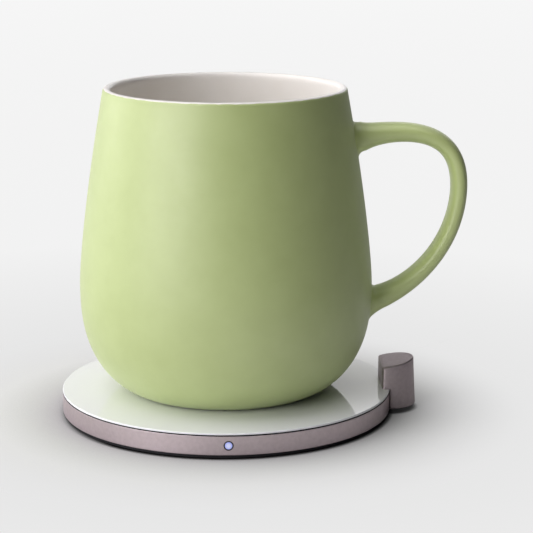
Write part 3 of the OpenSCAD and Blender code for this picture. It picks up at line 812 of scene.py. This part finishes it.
def lit_lens():
    """Clear acrylic lens lit from behind: lavender, palest in the middle."""
    pale_r = 0.5
    material, tree, where = start_material("lit_lens")
    centred = add(tree, "ShaderNodeMapping", {"Vector": where, "Location": (0, PAD_R * MM, -lens_z * MM)})
    away = add(tree, "ShaderNodeVectorMath", {0: centred}, operation="LENGTH")
    glow = add(tree, "ShaderNodeMapRange", {
        "Value": away, "From Min": pale_r * MM, "From Max": LENS_R * MM, "To Min": 1.0, "To Max": 0.0})
    colour = add(tree, "ShaderNodeMix", {
        "Factor": glow, "A": linear("#8C9BEE"), "B": linear("#E9ECFF")}, data_type="RGBA")
    return end_material(material, add(tree, "ShaderNodeBsdfPrincipled", {
        "Base Color": linear("#8F95C8"), "Roughness": 0.12, "IOR": 1.49,
        "Emission Color": colour, "Emission Strength": 0.5}))


def felted(name, low, high):
    """Felted or foamed insulation: soft, matt and uneven."""
    material, tree, where = start_material(name)
    return end_material(material, add(tree, "ShaderNodeBsdfPrincipled", {
        "Base Color": tinted(tree, where, low, high, size=0.7), "Roughness": 0.92,
        "Normal": grained(tree, where, size=0.5, depth=0.08, strength=0.8)}))


# Floor: half its side in metres. The rest is in millimetres
FLOOR_HALF = 12.0
# Reach and power of the soft shade round the object and of the dark line where it stands
SHADE, CONTACT = (40, 1.1), (2, 3.5)
SHADE_SAMPLES = 8
# Left and right end of a change along X, and its share at each: the line, bounced light, mirrored white
LINE_X, BOUNCE_X, MIRROR_X = (-55, -36, 0.0, 1.0), (60, 220, 1.0, 0.4), (-40, 140, 1.0, 0.1)
# Nearest and farthest end of a change with the distance from the glow's middle, and how it eases:
# the white comes in for the eye, comes in for reflections, pales, and turns to its last white
GLOW_MIDDLE = (-4, 4, 0)
SEEN_AWAY, MIRROR_AWAY = (50, 105, "SMOOTHSTEP"), (80, 350, "SMOOTHSTEP")
PALE_AWAY, WHITE_AWAY = (80, 260, "LINEAR"), (260, 1600, "LINEAR")


def studio_floor():
    """Matt paper sweep: takes the object's shadow, and looks an even white far behind it.

    Near the object it is diffuse paper, darkened by powers of the open space over a point: a soft shade,
    and a thin line of shade where the object stands, which fades out to the left. Farther off, the eye sees
    an even white that grows with the distance, and so do reflections, less so on the right. What bounces
    off the paper on the right is painted darker, a painted shade that stands in for a dark card beside the
    set.
    """
    black = linear("#000000")
    material, tree, where = start_material("studio_floor")
    path = add(tree, "ShaderNodeLightPath").outputs
    x = add(tree, "ShaderNodeSeparateXYZ", {"Vector": where}).outputs["X"]
    middle = [v * MM for v in GLOW_MIDDLE]
    away = add(tree, "ShaderNodeVectorMath", {0: where, 1: middle}, operation="DISTANCE")
    soft, dark = (
        add(tree, "ShaderNodeMath", {
            0: add(tree, "ShaderNodeAmbientOcclusion", {"Distance": reach * MM},
                   samples=SHADE_SAMPLES).outputs["AO"],
            1: power}, operation="POWER")
        for reach, power in (SHADE, CONTACT))
    kept, painted_right_dimming, sided = (
        add(tree, "ShaderNodeMapRange", {
            "Value": x, "From Min": left * MM, "From Max": right * MM, "To Min": first, "To Max": last})
        for left, right, first, last in (LINE_X, BOUNCE_X, MIRROR_X))
    seen, mirrored, pale, last_white = (
        add(tree, "ShaderNodeMapRange", {"Value": away, "From Min": near * MM, "From Max": far * MM},
            interpolation_type=ease)
        for near, far, ease in (SEEN_AWAY, MIRROR_AWAY, PALE_AWAY, WHITE_AWAY))

    line = add(tree, "ShaderNodeMix", {"Factor": kept, "A": 1.0, "B": dark}, data_type="FLOAT")
    contact = add(tree, "ShaderNodeMath", {0: soft, 1: line}, operation="MULTIPLY")
    shade = add(tree, "ShaderNodeMix", {
        "Factor": contact, "A": black, "B": linear("#EAEAEA")}, data_type="RGBA")
    gloss = add(tree, "ShaderNodeMath", {0: path["Is Glossy Ray"], 1: path["Is Transmission Ray"]},
                operation="MAXIMUM")
    unseen = add(tree, "ShaderNodeMath", {0: path["Is Diffuse Ray"], 1: gloss}, operation="MAXIMUM")
    # Light bounced or mirrored off the paper on the right is painted darker: painted shade.
    bounce = add(tree, "ShaderNodeMix", {"Factor": unseen, "A": 1.0, "B": painted_right_dimming}, data_type="FLOAT")
    paper = add(tree, "ShaderNodeMix", {"Factor": bounce, "A": black, "B": shade}, data_type="RGBA")
    dull = add(tree, "ShaderNodeBsdfDiffuse", {"Color": paper})

    paler = add(tree, "ShaderNodeMix", {
        "Factor": pale, "A": linear("#E5E5E5"), "B": linear("#F2F2F2")}, data_type="RGBA")
    white = add(tree, "ShaderNodeMix", {
        "Factor": last_white, "A": paler, "B": linear("#F6F6F6")}, data_type="RGBA")
    bright = add(tree, "ShaderNodeEmission", {"Color": white, "Strength": 1.0})

    lit = add(tree, "ShaderNodeMath", {0: seen, 1: line}, operation="MULTIPLY")
    direct = add(tree, "ShaderNodeMath", {0: path["Is Camera Ray"], 1: lit}, operation="MULTIPLY")
    glow = add(tree, "ShaderNodeMath", {0: mirrored, 1: sided}, operation="MULTIPLY")
    glint = add(tree, "ShaderNodeMath", {0: gloss, 1: glow}, operation="MULTIPLY")
    share = add(tree, "ShaderNodeMath", {0: direct, 1: glint}, operation="MAXIMUM")
    return end_material(material, add(tree, "ShaderNodeMixShader", {"Fac": share, 1: dull, 2: bright}))


# Dressing

def dress(piece, material, body, slot_name, *nodes):
    """Gives a new piece its material and the body it rides on, and hides the imported nodes it stands for.
    slot_name is not used.
    """
    piece.data.materials.clear()
    piece.data.materials.append(material)
    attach(piece, body)
    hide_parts(*nodes)


def coat(material, *nodes):
    """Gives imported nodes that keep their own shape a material."""
    for node in nodes:
        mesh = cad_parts[node].data
        mesh.materials.clear()
        mesh.materials.append(material)


# Anodised aluminium, bead-blasted: a mauve sheen, darker and duller on the post than on the ring
ring_metal = satin_aluminium("satin_aluminium_ring", "#C8BABE", "#D0C2C6", 0.42)
post_metal = satin_aluminium("satin_aluminium_post", "#B2A6A9", "#BAAEB1", 0.5)
# Silicone rubber, moulded: dull and even
black_silicone = moulded("black_silicone", "#232327", "#2A2A2E", 0.75, size=2.0, grain=0.6)
pale_silicone = moulded("pale_silicone", "#D6D4CE", "#DDDBD5", 0.7, size=2.0, grain=0.6)
# ABS, moulded: a low even gloss over a fine grain
pale_plastic = moulded("pale_abs", "#D8D6CF", "#DEDCD6", 0.5)
dark_plastic = moulded("dark_abs", "#2A292C", "#333236", 0.45)

dress(mug_shell(), two_glazes(), "mug", "green_glaze", "mug_body")
# The handle's green is painted paler than the cup's: painted light.
dress(mug_handle_form(), painted_paler_green_glaze(), "mug", "green_glaze", "mug_handle")
dress(foot_ring_form(), pale_silicone, "mug", "pale_silicone", "foot_ring")
dress(base_cap_form(), pale_plastic, "mug", "pale_plastic", "base_cap")
dress(glass_form(), white_backed_glass(), "pad", "white_glass", "glass_plate")
# Bonding film, cast: near black and without gloss, so that it reads as one dark line
dress(seam_form(), moulded("black_film", "#060607", "#0A0A0B", 0.8, gloss=0.1),
      "pad", "black_film", "glass_gasket")
dress(ring_form(), ring_metal, "pad", "satin_metal", "rim_band")
dress(lens_form(), lit_lens(), "pad", "clear_lens", "light_pipe")
dress(sleeve_form(), dark_plastic, "pad", "dark_plastic", "lens_sleeve")
dress(grip_form(), black_silicone, "pad", "black_silicone", "anti_slip_pad")
dress(post_form(), post_metal, "pad", "satin_metal_post", "post_shell")

coat(dark_plastic, "base_cover", "post_floor")
coat(pale_plastic, "glass_carrier", "coil_carrier")
coat(black_silicone, "wire_grommet")
coat(pale_silicone, "base_gasket")
# Steel, plated or deep-drawn: a bright cool grey with faint streaks
coat(drawn_metal("plated_steel", "#B9B9BC", "#C6C6C9", 0.3), "cover_screws", "post_screws", "thermal_cutoff")
coat(drawn_metal("drawn_steel", "#B4B4B8", "#C3C3C7", 0.26), "usb_c_socket")
# Ferrite, pressed and sintered: a dull dark grey
coat(moulded("ferrite", "#464245", "#4E4A4C", 0.7), "ferrite_disc", "receiver_ferrite", "power_inductor")
# Copper wire, drawn and enamelled: a warm brown metal
coat(drawn_metal("enamelled_copper", "#A9653A", "#B87345", 0.32), "transmitter_coil", "receiver_coil")
# Sensor bead, glass over a chip: brown with some gloss
coat(moulded("glazed_bead", "#6F5033", "#7C5A3A", 0.35), "temperature_sensor", "temperature_probe")
# Glass-fibre board, printed with solder mask: a deep green with some gloss
coat(moulded("solder_mask", "#24502F", "#2C5B37", 0.35, size=4.0),
     "control_board", "socket_board", "receiver_board")
# Epoxy resin, moulded round chips: a dull black
coat(moulded("chip_resin", "#1A1A1D", "#222225", 0.6), "controller_chip", "driver_chips", "rectifier_chips")
# Capacitor ceramic, fired: a dull tan
coat(moulded("capacitor_ceramic", "#AE9469", "#BBA175", 0.5), "resonant_capacitors")
# Clear resin, cast with a diffuser: a milky white
coat(moulded("diffusing_resin", "#EFF2FA", "#F6F8FF", 0.4), "indicator_led")
# PVC, extruded on the leads: an even red with some gloss
coat(moulded("wire_pvc", "#A82429", "#B52C31", 0.4), "power_leads")
coat(felted("felted_insulation", "#DFD9CA", "#EBE6D9"), "insulation_disc")
# Alloy foil, rolled and etched: a brassy metal
coat(drawn_metal("etched_foil", "#A87C34", "#B98C42", 0.4), "heater_film")

# Stage
FLOOR_CORNERS = [(x * FLOOR_HALF, y * FLOOR_HALF, 0) for x, y in ((-1, -1), (1, -1), (1, 1), (-1, 1))]
floor_mesh = bpy.data.meshes.new("studio_floor")
floor_mesh.from_pydata(FLOOR_CORNERS, [], [(0, 1, 2, 3)])
floor_mesh.materials.append(studio_floor())
floor = put_object("studio_floor", floor_mesh)

# Soft lights: azimuth (0 is the front, positive to the right) and elevation in degrees,
# distance, width and height in metres, and watts
SOFTBOXES = {
    "key": (-50, 10, 2.2, 1.8, 0.8, 14.5),
    "high_key": (-50, 30, 2.2, 1.8, 1.2, 16),
    "left": (-80, 12, 2.2, 1.8, 0.8, 2),
    "left_back": (-115, 12, 2.2, 1.4, 0.8, 12),
    "high_left": (-90, 58, 2.2, 1.8, 1.8, 22),
    "back_left": (-163, 14, 2.4, 1.4, 1.0, 3),
    "back_right": (163, 14, 2.4, 1.4, 1.0, 5.6),
    "overhead": (180, 82, 2.4, 2.4, 2.4, 17),
}
LAMP_COLOUR = "#FFFDFF"
# Middle of the mug with its handle, in metres
LAMP_AIM = np.array([0.01, 0.0, 0.05])

for name, (azimuth, elevation, distance, width, height, watts) in SOFTBOXES.items():
    a, e = math.radians(azimuth), math.radians(elevation)
    away = np.array([math.sin(a) * math.cos(e), -math.cos(a) * math.cos(e), math.sin(e)])
    lamp_data = bpy.data.lights.new(name, "AREA")
    lamp_data.shape, lamp_data.size, lamp_data.size_y, lamp_data.energy = "RECTANGLE", width, height, watts
    lamp_data.color = linear(LAMP_COLOUR)[:3]
    lamp = put_object(name, lamp_data)
    lamp.location = LAMP_AIM + away * distance
    lamp.rotation_euler = Vector(away).to_track_quat("Z", "Y").to_euler()

world = bpy.data.worlds.new("studio")
world.use_nodes = True
bpy.context.scene.world = world
background = world.node_tree.nodes["Background"]
background.inputs["Color"].default_value = linear("#F2F2F2")
background.inputs["Strength"].default_value = 0.02

# Camera at the photograph's viewing angle: its eye in millimetres, carried about +Z by the turn
EYE_X, EYE_Y, EYE_Z = 13.2155, -607.244, 185.914
PITCH_DEG = 12.80157
TURN_DEG = 1.8
LENS_MM, SENSOR_MM = 128.75, 36.0
CLIP_M = (0.01, 20.0)
turn = math.radians(TURN_DEG)
camera_data = bpy.data.cameras.new("camera")
camera_data.lens, camera_data.sensor_width = LENS_MM, SENSOR_MM
camera_data.clip_start, camera_data.clip_end = CLIP_M
camera = put_object("camera", camera_data)
camera.location = np.array([EYE_X * math.cos(turn) + EYE_Y * math.sin(turn),
                            -EYE_X * math.sin(turn) + EYE_Y * math.cos(turn), EYE_Z]) * MM
camera.rotation_euler = (math.radians(90 - PITCH_DEG), 0, -turn)
bpy.context.scene.camera = camera
bpy.context.scene.view_settings.view_transform = "Standard"
